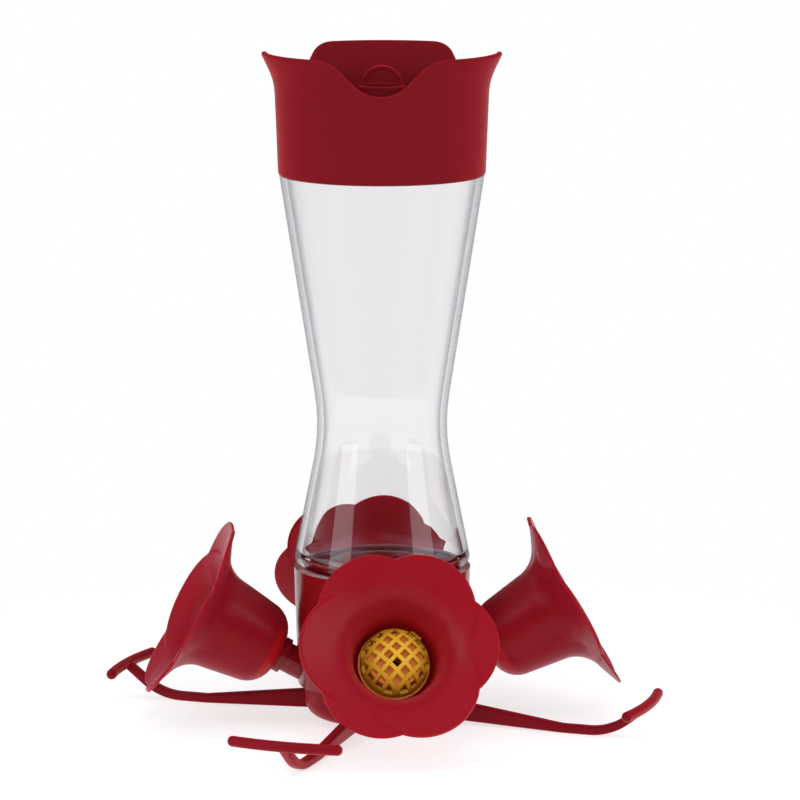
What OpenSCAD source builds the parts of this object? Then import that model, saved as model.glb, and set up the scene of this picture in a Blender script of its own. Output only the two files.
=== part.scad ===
// Table or hanging hummingbird feeder: an inverted pinch-waist glass bottle with a
// moat cap, a nectar base with four trumpet flowers, and a tray with four perches.
// The origin is on the bottle's axis at the floor, +Z up.

/* [Stance] */
// Height of the tray's underside over the floor
tray_lift = 1.4; // [1:0.1:4]
// Length of each arm's flat foot
foot_len = 15.6; // [12:0.1:22]

/* [Perches] */
// Turn of the perch arms against the flowers, in degrees
perch_turn = -24.7; // [-40:0.1:-10]
// Distance from the axis to each perch rod
perch_reach = 87; // [84:0.1:92]
// Height of each perch rod's centre over the floor
perch_height = 10.7; // [8:0.1:14]
// Half of the arc that a perch rod covers, in degrees
perch_half_arc = 11; // [8:1:18]
// Radius of a perch rod
perch_rod_r = 1.65; // [1.2:0.05:2.2]
// Growth of a rod's radius at its round ends
rod_bead = 0.05; // [0.02:0.01:0.2]
// Thickness of the blade arms
arm_t = 3.2; // [2:0.1:4]
// Height of a blade arm where it leaves the tray
arm_root_h = 6.2; // [4:0.1:8]
// Height of a blade arm at its foot
arm_foot_h = 2.8; // [2:0.1:4]
// Slope of a blade arm where it rises to its rod, in degrees
arm_slope = 38; // [32:1:45]
// Bend radius of a blade arm's rise
arm_bend_r = 20; // [14:1:24]

/* [Tray] */
// Outer radius of the tray
tray_r = 24.3; // [23:0.1:25]
// Height of the tray's rim over its underside
tray_h = 10.3; // [9:0.1:12]
// Radius of the rounded edge under the tray
tray_round = 5; // [2:0.5:6]
// Wall and floor of the tray
tray_wall = 1.8; // [1.4:0.1:2.2]
// Overlap of an arm's root with the tray's wall
arm_root_lap = 0.9; // [0.5:0.1:1.2]

/* [Base] */
// Outer radius of the base at its top
base_top_r = 27.6; // [26.5:0.1:29]
// Outer radius of the base at its lower edge
base_low_r = 26.5; // [26:0.1:28]
// Height of the base from its lower edge to its top
base_h = 37; // [35:0.5:42]
// Wall of the base
base_wall = 1.8; // [1.4:0.1:2.4]
// Length of the threaded skirt that goes down into the tray
skirt_h = 7; // [5:0.1:8]
// Thickness of the two flat seals
seal_t = 1.6; // [1:0.1:2]

/* [Bottle] */
// Wall of the glass
glass_wall = 2.2; // [1.6:0.1:3]
// Widest radius of the glass just over the base
shoulder_r = 28.1; // [27:0.1:30]
// Height of the waist's corner over the base
waist_h = 44.2; // [38:0.5:50]
// Radius at the waist's corner, before it is rounded
waist_corner_r = 19.3; // [18:0.1:24]
// Radius of the rounded waist
waist_round = 60; // [30:5:80]
// Height of the bare glass from the base to the cap
glass_h = 124.2; // [115:0.1:130]
// Height of the closed end that the cap covers
crown_h = 15; // [12:0.5:18]
// Radius of the rounded edge under the glass
shoulder_round = 3.4; // [2:0.1:4]
// Outer radius of the threaded neck
neck_r = 17.5; // [16:0.1:18.5]
// Length of the threaded neck
neck_h = 21; // [18:0.5:24]
// Wall of the neck
neck_wall = 3.2; // [2.4:0.1:4]
// Rounded edge of the closed end, outside and inside
crown_round = 5; // [2:0.5:8]
// Rounding where the neck meets the shoulder inside
neck_round = 2; // [1:0.5:2]

/* [Moat cap] */
// Wall of the cap
cap_wall = 1.8; // [1.4:0.1:2.2]
// Outer radius of the cap at its lower rim
cap_r = 32.1; // [31:0.1:35]
// Reach of the cap's lower rim past the glass
cap_proud = 0.2; // [0.1:0.1:1]
// Radius gained from the lower rim to the start of the flare
cap_taper = 1.1; // [0:0.1:2]
// Height of the flare's corner over the lower rim
flare_h = 29; // [27:0.5:31]
// Radius of the flare's bend
flare_round = 22; // [10:1:30]
// Outward reach of the petals past the flare's corner
flare_out = 3.8; // [3:0.1:6]
// Height of the cap
cap_h = 37.3; // [36:0.1:40]
// Half of the width of a valley's floor between two petals
valley_floor_half = 5.7; // [4:0.1:7]
// Half of the width of a valley at the rim
valley_rim_half = 15.7; // [14:0.1:18]
// Depth of the valleys below the rim
valley_depth = 11; // [8:0.1:12]
// Rounding of a valley's floor
valley_floor_round = 12; // [6:0.5:12]
// Rounding of a valley's rim corners
valley_rim_round = 9; // [4:0.5:10]
// Turn of the cap against the flowers, in degrees
cap_turn = -5.5; // [-30:0.5:30]
// Outer radius of the hollow hub in the middle of the moat
hub_r = 7.3; // [6:0.1:9]
// Wall of the hub
hub_wall = 1.5; // [1.2:0.1:2]
// Height of the hub's rim over the cap's lower rim
hub_top_h = 26.8; // [25:0.1:29]
// Height of the hanging loop over the hub's rim
loop_h = 6; // [5.6:0.1:7]
// Thickness of the hanging loop
loop_t = 1.3; // [1:0.1:1.8]
// Width of the hanging loop's band
loop_w = 4.6; // [3:0.1:6]
// Inset of the loop's feet from the hub's outside
loop_inset = 0.25; // [0.1:0.05:0.5]

/* [Flowers] */
// Upward tilt of the flowers, in degrees
flower_tilt = 28.75; // [26:0.25:31]
// Turn of the back flower on its stem, in degrees
back_flower_turn = -12.5; // [-30:0.5:30]
// Distance from the base's lower edge out to the middle of a flower's back
stem_reach = 6.2; // [5.5:0.1:9]
// Height of the middle of a flower's back over the floor
flower_back_height = 21.35; // [21:0.05:24]
// Radius of a flower out to the tip of its petals
petal_tip_r = 30.1; // [28:0.1:31]
// Radius of one petal's round end
petal_end_r = 17.7; // [16:0.1:18.5]
// Wall of a flower
petal_wall = 1.3; // [1:0.1:1.6]
// Height of the three upper petals over the three lower ones
petal_step = 0.5; // [0.3:0.05:0.8]
// Length of a flower from its mouth to its back
flower_len = 31.5; // [31:0.1:33]
// Radius at the corner between the flare and the bell
bell_front_r = 15.9; // [15:0.1:17]
// Depth of that corner behind the mouth
bell_front_depth = 5.4; // [4:0.1:7]
// Radius at the corner between the bell and its back
bell_back_r = 12; // [11.9:0.1:12.6]
// Rounding between the flare and the bell
bell_front_round = 10; // [6:0.5:14]
// Rounding of the bell's back
bell_back_round = 9; // [6:0.5:9]
// Thickness of the bell's back
bell_back_t = 2.6; // [2:0.1:3]
// Rounding between the bell's floor and its wall inside
bell_floor_round = 4; // [2:0.5:4]
// Share of the flare that the upper petals leave bare
petal_start = 0.35; // [0.2:0.05:0.5]

/* [Feeding ports] */
// Outer radius of the stem that carries a flower
stem_r = 4.6; // [4.2:0.1:5]
// Bore radius of the stem
stem_bore_r = 3.2; // [2.5:0.1:3.4]
// Radius of the collar on the stem behind the flower
stem_collar_r = 5.7; // [5.4:0.1:6.5]
// Thickness of that collar
stem_collar_t = 2.2; // [1.5:0.1:3]
// Radius of the bee guard
guard_r = 10.5; // [10:0.1:10.8]
// Wall of the bee guard
guard_wall = 1.1; // [0.8:0.1:1.4]
// Distance from the flower's back to the bee guard's dome centre
guard_stand = 12.7; // [12:0.1:14]
// Straight length of the bee guard behind its dome
guard_skirt = 2.2; // [1.5:0.1:3]
// Spacing of the guard's ribs
guard_pitch = 3.45; // [3:0.05:4]
// Width of the guard's ribs
guard_rib = 1.15; // [0.9:0.05:1.4]
// Width of the closed band round the guard's edge
guard_band = 1.5; // [1:0.1:2]
// Width of the guard's latch tab
guard_tab_w = 3.6; // [2:0.1:5]
// Turn of the latch tab round the guard, in degrees
guard_tab_turn = 140; // [0:5:360]
// Radius of the feeding hole
feed_hole_r = 2.1; // [1.5:0.1:2.4]
// Radius of the feeding port's nose
nose_r = 8.4; // [7.5:0.1:8.8]
// Length of the nose in front of the port's flange
nose_len = 5.6; // [4:0.1:6.5]
// Length of the stem inside the flower
stem_grip = 4.5; // [3:0.1:5]
// Thickness of the port's flange
port_flange_t = 1.4; // [1:0.1:2]
// Reach of the port's flange past the guard
port_flange_lip = 0.5; // [0.3:0.1:0.8]
// Wall of the port's sleeve on the stem
port_sleeve_t = 1.8; // [1.2:0.1:2]
// Overlap of a stem with the base's wall
stem_lap = 3; // [2:0.5:4]

/* [Fits] */
// Gap between pieces that are pressed together
press_gap = 0.06; // [0.02:0.01:0.1]
// Gap around a threaded piece
thread_gap = 0.3; // [0.2:0.05:0.4]
// Cover of each seal under the rim that it seals
seal_lap = 1; // [0.5:0.1:2]

/* [Hidden] */
$fn = 96;
eps = 0.01;
side_names = ["right", "back", "left", "front"];
arc_step = 7;

tray_rim_z = tray_lift + tray_h;
tray_floor_z = tray_lift + tray_wall;
tray_bore_r = tray_r - tray_wall;
skirt_r = tray_bore_r - thread_gap;
skirt_low_z = tray_floor_z + seal_t;
base_low_z = skirt_low_z + skirt_h;
base_top_z = base_low_z + base_h;
neck_end_z = base_top_z - neck_h;
neck_bore_r = neck_r - neck_wall;
socket_r = neck_r + thread_gap;
socket_floor_z = neck_end_z - seal_t;
seal_hole_r = neck_bore_r - seal_lap;
cap_low_z = base_top_z + glass_h;
crown_top_z = cap_low_z + crown_h;
glass_top_r = cap_r - cap_proud;
crown_r = cap_r - cap_wall - press_gap;
cap_floor_z = crown_top_z;
hub_top_z = cap_low_z + hub_top_h;
cap_top_z = cap_low_z + cap_h;
mouth_reach = base_low_r + stem_reach + flower_len * cos(flower_tilt);
mouth_height = flower_back_height + flower_len * sin(flower_tilt);
petal_centre_r = petal_tip_r - petal_end_r;
first_petal_turn = 30;
guard_depth = flower_len - guard_stand;
bell_floor_depth = flower_len - bell_back_t;
spigot_end_depth = flower_len - bell_back_t - stem_grip;
port_flange_depth = guard_depth + guard_skirt;
port_flange_r = guard_r + port_flange_lip;
port_sleeve_r = stem_r + press_gap + port_sleeve_t;
// Depth at which a stem's axis meets the inside of the base's wall.
stem_root_depth = (mouth_reach - base_low_r + base_wall) / cos(flower_tilt);
red = [0.56, 0.06, 0.10];
dark_red = [0.42, 0.04, 0.09];
yellow = [0.86, 0.62, 0.10];

// Path helpers: a path is a list of [radius, height] corners, rounded by a list of radii.
function unit(v) = v / norm(v);
function left_of(v) = [-v[1], v[0]];
function way_in(path, i) = unit(path[max(i, 1)] - path[max(i, 1) - 1]);
function way_out(path, i) = let (j = min(i, len(path) - 2)) unit(path[j + 1] - path[j]);
function turn_at(path, i) =
    let (a = way_in(path, i), b = way_out(path, i)) atan2(a[0] * b[1] - a[1] * b[0], a * b);
function shifted(path, t) = [
    for (i = [0:len(path) - 1])
        let (a = left_of(way_in(path, i)), b = left_of(way_out(path, i)))
            path[i] + (a + b) * t / (1 + a * b)
];
function arc_at(path, i, r) =
    let (
        a = way_in(path, i),
        turn = turn_at(path, i),
        steps = max(2, ceil(abs(turn) / arc_step)),
        start = path[i] - a * r * abs(tan(turn / 2)),
        centre = start + left_of(a) * r * sign(turn)
    )
    [
        for (k = [0:steps])
            let (q = turn * k / steps, v = start - centre)
                centre + [v[0] * cos(q) - v[1] * sin(q), v[0] * sin(q) + v[1] * cos(q)]
    ];
function rounded(path, radii) = [
    for (i = [0:len(path) - 1]) each (radii[i] > 0 ? arc_at(path, i, radii[i]) : [path[i]])
];
function shifted_radii(path, radii, t) = [
    for (i = [0:len(path) - 1]) radii[i] > 0 ? radii[i] - t * sign(turn_at(path, i)) : 0
];
function backwards(list) = [for (i = [len(list) - 1:-1:0]) list[i]];
// Outline of a wall of thickness t on the left of a path.
function wall_outline(path, radii, t) =
    concat(
        rounded(path, radii),
        backwards(rounded(shifted(path, t), shifted_radii(path, radii, t)))
    );

// Places its children at flower i, with +Z out along the flower and -X up.
module at_flower(i) {
    rotate([0, 0, 90 * i])
        translate([mouth_reach, 0, mouth_height])
            rotate([0, 90 - flower_tilt, 0])
                children();
}

// A round bar or hole of radius r along a flower, between two depths behind its mouth.
module along_flower(r, from_depth, to_depth) {
    translate([0, 0, -to_depth]) cylinder(r = r, h = to_depth - from_depth);
}

module ring(outer_r, inner_r, low_z, high_z) {
    translate([0, 0, low_z])
        difference() {
            cylinder(r = outer_r, h = high_z - low_z);
            translate([0, 0, -eps]) cylinder(r = inner_r, h = high_z - low_z + 2 * eps);
        }
}

// Perch tray: a shallow bowl with four blade arms that are also its feet.
arm_root_r = tray_r - arm_root_lap;
arm_rise = perch_height - arm_foot_h / 2;
arm_bend_at = perch_reach - arm_rise / tan(arm_slope);
foot_start = arm_bend_at - foot_len;

module arm_side() {
    underside = shifted(
        [
            [foot_start, arm_foot_h / 2],
            [arm_bend_at, arm_foot_h / 2],
            [perch_reach, perch_height]
        ],
        -arm_foot_h / 2
    );
    polygon(concat(
        [[arm_root_r, tray_lift]],
        wall_outline(underside, [0, arm_bend_r + arm_foot_h / 2, 0], arm_foot_h),
        [[arm_root_r, tray_lift + arm_root_h]]
    ));
}

module perch_arm() {
    translate([0, arm_t / 2, 0])
        rotate([90, 0, 0])
            linear_extrude(arm_t) arm_side();
    rotate([0, 0, -perch_half_arc])
        rotate_extrude(angle = 2 * perch_half_arc)
            translate([perch_reach, perch_height]) circle(r = perch_rod_r, $fn = 32);
    for (q = [-perch_half_arc, perch_half_arc])
        rotate([0, 0, q])
            translate([perch_reach, 0, perch_height]) sphere(r = perch_rod_r + rod_bead, $fn = 32);
}

module perch_tray() {
    outer = rounded(
        [[0, tray_lift], [tray_r, tray_lift], [tray_r, tray_rim_z]],
        [0, tray_round, 0]
    );
    inner = [[tray_bore_r, tray_rim_z], [tray_bore_r, tray_floor_z], [0, tray_floor_z]];
    color(dark_red) {
        rotate_extrude() polygon(concat(outer, inner));
        for (i = [0:3]) rotate([0, 0, 90 * i + perch_turn]) perch_arm();
    }
}

module tray_seal() {
    color([0.55, 0.55, 0.55])
        ring(skirt_r, skirt_r - tray_wall, tray_floor_z, skirt_low_z);
}

// Base: a tapered pot, open below, with the bottle's socket and four stems.
module base_bowl() {
    color(red)
        difference() {
            union() {
                rotate_extrude()
                    polygon([
                        [skirt_r - base_wall, skirt_low_z],
                        [skirt_r, skirt_low_z],
                        [skirt_r, base_low_z],
                        [base_low_r, base_low_z],
                        [base_top_r, base_top_z],
                        [socket_r, base_top_z],
                        [socket_r, socket_floor_z],
                        [seal_hole_r, socket_floor_z],
                        [seal_hole_r, socket_floor_z - base_wall],
                        [socket_r + base_wall, socket_floor_z - base_wall],
                        [socket_r + base_wall, base_top_z - base_wall],
                        [base_top_r - base_wall, base_top_z - base_wall],
                        [base_low_r - base_wall, base_low_z + base_wall],
                        [skirt_r - base_wall, base_low_z + base_wall]
                    ]);
                for (i = [0:3]) stem(i);
            }
            for (i = [0:3])
                at_flower(i) along_flower(stem_bore_r, spigot_end_depth - eps, stem_root_depth + stem_lap + 1);
        }
}

module stem(i) {
    difference() {
        at_flower(i) {
            along_flower(stem_r, spigot_end_depth, stem_root_depth + stem_lap);
            along_flower(stem_collar_r, flower_len, flower_len + stem_collar_t);
        }
        cylinder(r = base_low_r - base_wall / 2, h = base_top_z);
    }
}

module bottle_seal() {
    color([0.55, 0.55, 0.55])
        ring(neck_r, seal_hole_r, socket_floor_z, neck_end_z);
}

// Bottle: one blown shell, closed at the top and open at the neck.
module bottle() {
    path = [
        [neck_r, neck_end_z],
        [neck_r, base_top_z],
        [shoulder_r, base_top_z],
        [waist_corner_r, base_top_z + waist_h],
        [glass_top_r, cap_low_z],
        [crown_r, cap_low_z],
        [crown_r, crown_top_z],
        [0, crown_top_z]
    ];
    radii = [0, 0, shoulder_round, waist_round, 0, 0, crown_round, 0];
    inside = [
        [neck_bore_r, neck_end_z],
        [neck_bore_r, base_top_z + glass_wall],
        [shoulder_r - glass_wall, base_top_z + glass_wall],
        [waist_corner_r - glass_wall, base_top_z + waist_h],
        [glass_top_r - 2 * glass_wall, cap_low_z],
        [crown_r - glass_wall, crown_top_z - glass_wall],
        [0, crown_top_z - glass_wall]
    ];
    inside_radii = [0, neck_round, shoulder_round, waist_round, 0, crown_round, 0];
    color([0.80, 0.85, 0.86, 0.35])
        rotate_extrude()
            polygon(concat(rounded(path, radii), backwards(rounded(inside, inside_radii))));
}

// Moat cap: a skirt that snaps over the bottle's closed end, a moat with a hollow hub
// and a hanging loop, and a flared rim cut into three petals.
module valley_cut() {
    outline = rounded(
        [
            [-3 * valley_rim_half, cap_top_z + 1],
            [-3 * valley_rim_half, cap_top_z],
            [-valley_rim_half, cap_top_z],
            [-valley_floor_half, cap_top_z - valley_depth],
            [valley_floor_half, cap_top_z - valley_depth],
            [valley_rim_half, cap_top_z],
            [3 * valley_rim_half, cap_top_z],
            [3 * valley_rim_half, cap_top_z + 1]
        ],
        [0, 0, valley_rim_round, valley_floor_round, valley_floor_round, valley_rim_round, 0, 0]
    );
    rotate([90, 0, 0]) linear_extrude(2 * cap_r) polygon(outline);
}

module cap_wall_ring() {
    path = [
        [cap_r, cap_low_z],
        [cap_r + cap_taper, cap_low_z + flare_h],
        [cap_r + cap_taper + flare_out, cap_top_z]
    ];
    rotate_extrude() polygon(wall_outline(path, [0, flare_round, 0], cap_wall));
}

module hanging_loop() {
    foot_half = hub_r - loop_inset;
    loop_r = (foot_half * foot_half + loop_h * loop_h) / (2 * loop_h);
    difference() {
        translate([0, loop_w / 2, hub_top_z + loop_h - loop_r])
            rotate([90, 0, 0])
                difference() {
                    cylinder(r = loop_r, h = loop_w);
                    translate([0, 0, -1]) cylinder(r = loop_r - loop_t, h = loop_w + 2);
                }
        translate([-2 * hub_r, -2 * hub_r, hub_top_z - 4 * hub_r])
            cube([4 * hub_r, 4 * hub_r, 4 * hub_r]);
    }
}

module moat_cap() {
    color(red)
        rotate([0, 0, cap_turn]) {
            difference() {
                cap_wall_ring();
                translate([0, 0, cap_top_z]) cylinder(r = 2 * cap_r, h = cap_h);
                for (i = [0:2]) rotate([0, 0, 120 * i]) valley_cut();
            }
            ring(cap_r - cap_wall / 2, hub_r - hub_wall, cap_floor_z, cap_floor_z + cap_wall);
            ring(hub_r, hub_r - hub_wall, cap_floor_z + cap_wall / 2, hub_top_z);
            hanging_loop();
        }
}

// Flower: a trumpet shell with six round petals, three of them over the other three.
flower_path = [
    [stem_r + press_gap, -flower_len],
    [bell_back_r, -flower_len],
    [bell_front_r, -bell_front_depth],
    [petal_tip_r, 0]
];
flower_radii = [0, bell_back_round, bell_front_round, 0];

module flower_shell() {
    front = shifted(flower_path, petal_wall);
    inside = [
        [stem_r + press_gap, -bell_floor_depth],
        [bell_back_r - petal_wall, -bell_floor_depth],
        front[2],
        front[3]
    ];
    inside_radii = [0, bell_floor_round, bell_front_round + petal_wall, 0];
    rotate_extrude()
        polygon(concat(
            rounded(flower_path, flower_radii),
            backwards(rounded(inside, inside_radii))
        ));
}

module petal_prism(first, step) {
    for (q = [first:step:first + 359])
        rotate([0, 0, q])
            translate([petal_centre_r, 0, -flower_len - 1])
                cylinder(r = petal_end_r, h = flower_len + 5);
}

// The flare's front layer, carried forward for the upper petals.
module upper_petals() {
    flare = [[bell_front_r, -bell_front_depth], [petal_tip_r, 0]];
    front = shifted(flare, petal_wall);
    intersection() {
        rotate_extrude()
            polygon([
                front[0] + [petal_wall, -petal_wall / 4],
                front[1] + [0, -petal_wall / 2],
                front[1] + [0, petal_step],
                front[0] + petal_start * (front[1] - front[0]) + [0, petal_step]
            ]);
        petal_prism(first_petal_turn, 120);
    }
}

module flower(i) {
    color(red)
        at_flower(i)
            rotate([0, 0, side_names[i] == "back" ? back_flower_turn : 0]) {
                intersection() {
                    flower_shell();
                    petal_prism(first_petal_turn, 60);
                }
                upper_petals();
            }
}

// Feeding port: a plug on the stem's end, with the feeding hole in its nose.
module feeding_port(i) {
    color(yellow)
        at_flower(i)
            difference() {
                union() {
                    along_flower(nose_r, port_flange_depth - nose_len, port_flange_depth);
                    along_flower(port_flange_r, port_flange_depth, port_flange_depth + port_flange_t);
                    along_flower(port_sleeve_r, port_flange_depth, bell_floor_depth);
                }
                along_flower(feed_hole_r, 0, flower_len);
                along_flower(stem_r + press_gap, spigot_end_depth, flower_len);
            }
}

// Bee guard: a domed grille that snaps over the port's flange.
module guard_ribs() {
    reach = 2 * guard_r;
    count = ceil(guard_r / guard_pitch);
    for (q = [45, 135])
        rotate(q)
            for (k = [-count:count])
                translate([k * guard_pitch, 0]) square([guard_rib, reach + 2], center = true);
}

module bee_guard(i) {
    dome_inner_r = guard_r - guard_wall;
    color(yellow)
        at_flower(i) {
            difference() {
                intersection() {
                    translate([0, 0, -guard_depth]) sphere(r = guard_r);
                    union() {
                        translate([0, 0, -guard_depth]) linear_extrude(2 * guard_r) guard_ribs();
                        translate([0, 0, -guard_depth])
                            difference() {
                                cylinder(r = 2 * guard_r, h = guard_band);
                                translate([0, 0, -1]) cylinder(r = guard_r / 2, h = guard_r);
                            }
                    }
                }
                translate([0, 0, -guard_depth]) sphere(r = dome_inner_r);
                along_flower(2 * guard_r, guard_depth, guard_depth + 2 * guard_r);
            }
            ring(guard_r, dome_inner_r, -port_flange_depth, -guard_depth + eps);
            rotate([0, 0, guard_tab_turn])
                translate([dome_inner_r + guard_wall / 2, -guard_tab_w / 2, -port_flange_depth])
                    cube([guard_wall, guard_tab_w, guard_skirt + guard_wall]);
        }
}

perch_tray();
tray_seal();
base_bowl();
bottle_seal();
bottle();
moat_cap();
for (i = [0:3]) {
    flower(i);
    feeding_port(i);
    bee_guard(i);
}
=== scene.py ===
"""Looks of a table or hanging hummingbird feeder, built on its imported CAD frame."""

import math

import bmesh
import bpy
from mathutils import Matrix, Vector


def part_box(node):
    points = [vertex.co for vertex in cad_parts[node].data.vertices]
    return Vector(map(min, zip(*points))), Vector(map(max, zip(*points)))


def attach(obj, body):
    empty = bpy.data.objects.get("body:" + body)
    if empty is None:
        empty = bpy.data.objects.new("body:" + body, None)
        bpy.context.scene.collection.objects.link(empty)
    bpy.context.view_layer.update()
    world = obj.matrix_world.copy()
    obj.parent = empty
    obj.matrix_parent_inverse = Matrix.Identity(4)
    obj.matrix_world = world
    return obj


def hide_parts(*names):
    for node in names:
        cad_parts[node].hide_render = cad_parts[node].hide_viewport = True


bl_info = {
    "name": "Hummingbird feeder looks",
    "version": (1, 0, 0),
    "blender": (4, 5, 0),
    "location": "3D View > Sidebar > Feeder",
    "description": "Glass bottle, moat cap, trumpet flowers and perches of a hummingbird feeder",
    "category": "Object",
}

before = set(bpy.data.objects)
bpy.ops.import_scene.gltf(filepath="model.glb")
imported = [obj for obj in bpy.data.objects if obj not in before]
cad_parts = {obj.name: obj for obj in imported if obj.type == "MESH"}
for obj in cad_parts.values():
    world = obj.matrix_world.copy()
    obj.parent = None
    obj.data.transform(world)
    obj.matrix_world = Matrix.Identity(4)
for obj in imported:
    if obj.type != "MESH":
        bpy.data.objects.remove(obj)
SIDES = ("right", "back", "left", "front")
GLASS_LOW, GLASS_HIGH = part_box("bottle")
CAP_LOW, CAP_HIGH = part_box("moat_cap")

# Steps round the axis of each turned shape
GLASS_STEPS = 180
CAP_STEPS = 360
SHELF_STEPS = 120
FLOWER_STEPS = 240
TRAY_STEPS = 120

# Steps of small shapes: round sections, the loop and rods along their bends, rounded edges
ROUND_POINTS = 24
BALL_RINGS = 16
LOOP_STEPS = 40
ROD_STEPS = 24
CAP_EDGE_STEPS = 8
PETAL_EDGE_STEPS = 6
ROUND_STEP = math.radians(5)

# Longest step along the path of each turned shape, in metres
GLASS_GAP = 0.004
CAP_GAP = 0.0012
FLOWER_GAP = 0.0005

# Distance under which points are merged, the least divisor, and the angle past which an edge is sharp
MERGE_DISTANCE = 1e-6
NEXT_TO_NOTHING = 1e-9
SHARP_ANGLE = math.radians(40)

# Moulded plastic: waves a metre, stretch along the mould, and the grain's depth in metres
CLOUD_SCALE = 45.0
GRAIN_SCALE = 900.0
FLOW_SCALE = 160.0
FLOW_STRETCH = (1, 1, 0.25)
FLOW_SHADE = 0.82
FLOW_START = 0.35
FLOW_SHARE = 0.25
NOISE_MIDDLE = 0.5
CLOUD_DRIFT = 0.06
CLOUD_ROUGH = 0.10
GRAIN_ROUGH = 0.06
GRAIN_DEPTH = 0.0002
GRAIN_STRENGTH = 0.06
GLOW_RADIUS = (1.0, 0.25, 0.15)
GLOW_SCALE = 0.003

# Blown glass: waves a metre, stretch along the bottle, and the waves' depth in metres
WAVE_SCALE = 90.0
WAVE_STRETCH = (1, 1, 0.12)
RIPPLE_SCALE = 400.0
RIPPLE_STRETCH = (1, 1, 0.3)
WAVE_DEPTH = 0.0004
WAVE_STRENGTH = 0.12
WAVE_SHADE = 0.985
RIPPLE_SHARE = 0.1
GLASS_ROUGH = 0.005
WAVE_ROUGH = 0.01
GLASS_IOR = 1.5
SHADOW_TINT = (0.98, 0.98, 0.985, 1)

# How far the glass turns away where its painted grey shade, and then its painted outline shade, starts
# and is full
PAINTED_GREY_TURN = (0.25, 0.7)
PAINTED_OUTLINE_TURN = (0.55, 0.95)
PAINTED_OUTLINE_SHARE = 0.85

# The bottle's wall at the neck, its ledge under the cap and its small roundings, in metres
NECK_WALL = 0.0032
CAP_LEDGE = 0.0006
NECK_ROUND = 0.0008
LEDGE_ROUND = 0.0004
LEDGE_FOOT_ROUND = 0.0002
CROWN_ROUND = 0.005
STEP_ROUND = 0.003
MOUTH_ROUND = 0.002

# Small roundings of the cap's hub and of the tray, in metres
HUB_FOOT_ROUND = 0.002
HUB_RIM_ROUND = 0.0007
HUB_BORE_ROUND = 0.0005
TRAY_RIM_ROUND = 0.0005
TRAY_FLOOR_ROUND = 0.001

# Share of the flare's height that the cap's petals leave as it is
STILL_SHARE = 0.55

# The hanging loop: angle by which its feet run into the hub, and how square its section is
LOOP_SINK = 0.05
LOOP_SQUARE = 1.25

# A flower's petals: where they start, in flare radii, and how far back they reach, in flare depths
PETAL_START = 0.9
PETAL_MARGIN = 0.8
PETAL_BACK = 2.2

# The laps between petals: the same two shares, then their fade, edge and width in metres
LAP_START = 1.2
LAP_BACK = 1.6
LAP_FADE = 0.010
LAP_EDGE = 0.0002
LAP_WIDTH = 0.0007

# Depths under a flower's outer skin, in walls, between which the painted light inside the throat sets in
THROAT_LIGHT_SKIN = (-0.75, -0.25)

# Rounded edges of the blade arms in metres, and the round ends of the rods in rod radii
ARM_BEVEL = 0.0007
ROD_END_SIZE = 1.01

# Soft boxes: name, place, width and height, field of their power, and whether plastic mirrors them
SOFT_BOXES = (
    ("left_box", (-1.06, -0.54, 0.45), (0.7, 1.1), "side_light", True),
    ("right_box", (0.95, -0.72, 0.45), (0.7, 1.1), "side_light", True),
    ("top_box", (0.0, -0.1, 1.3), (1.2, 1.2), "top_light", False),
    ("front_box", (-0.1, -1.2, 0.5), (0.5, 0.5), "front_light", False),
)
LAMP_AIM = Vector((0, 0, 0.08))

# The floor, and the distances from the axis where its shadows start to fade and are gone
FLOOR_RADIUS = 12.0
FLOOR_POINTS = 96
FLOOR_WHITE = (0.93, 0.93, 0.93, 1)
FLOOR_ROUGH = 0.16
FLOOR_SHINE = 0.5
FLOOR_EMISSION = 0.46
SHADOW_FADE = (0.08, 0.22)
WHITE = (1, 1, 1, 1)

# The room: angles from the camera's side, in radians, between which each part starts or ends
BOX_START = (0.3, 1.0)
BOX_END = (1.3, 2.1)
FLANK_START = (0.6, 1.1)
FLANK_END = (1.9, 2.4)
BACKDROP_START = (2.3, 2.7)
SCREEN_START = (1.5, 2.1)

# The room: heights and distances to the right, as shares of a direction
BOX_RISE = (0.2, 0.5)
SCREEN_TURN = (0.09, 0.24)

# The camera's sensor in millimetres, and the nearest and furthest that it sees in metres
SENSOR_WIDTH = 36.0
CLIP_NEAR = 0.01
CLIP_FAR = 50.0


def length(name, description, default):
    """A length in metres that a user may set."""
    return bpy.props.FloatProperty(
        name=name, description=description, default=default, min=0.0, unit="LENGTH", precision=5
    )


def turn(name, description, degrees):
    """An angle that a user may set."""
    return bpy.props.FloatProperty(
        name=name, description=description, default=math.radians(degrees), unit="ROTATION"
    )


def share(name, description, default):
    """A value from 0 to 1 that a user may set."""
    return bpy.props.FloatProperty(
        name=name, description=description, default=default, min=0.0, max=1.0, subtype="FACTOR"
    )


def power(name, description, default):
    """A lamp's power in watts that a user may set."""
    return bpy.props.FloatProperty(
        name=name, description=description, default=default, min=0.0, unit="POWER"
    )


def linear(red, green, blue):
    """A colour as a screen shows it, from 0 to 255, made linear."""
    shown = [c / 255 for c in (red, green, blue)]
    return tuple(c / 12.92 if c <= 0.04045 else ((c + 0.055) / 1.055) ** 2.4 for c in shown)


def colour(name, description, red, green, blue):
    """A colour that a user may set, given as a screen shows it."""
    return bpy.props.FloatVectorProperty(
        name=name,
        description=description,
        default=linear(red, green, blue),
        min=0.0,
        max=1.0,
        size=3,
        subtype="COLOR",
    )


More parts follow.
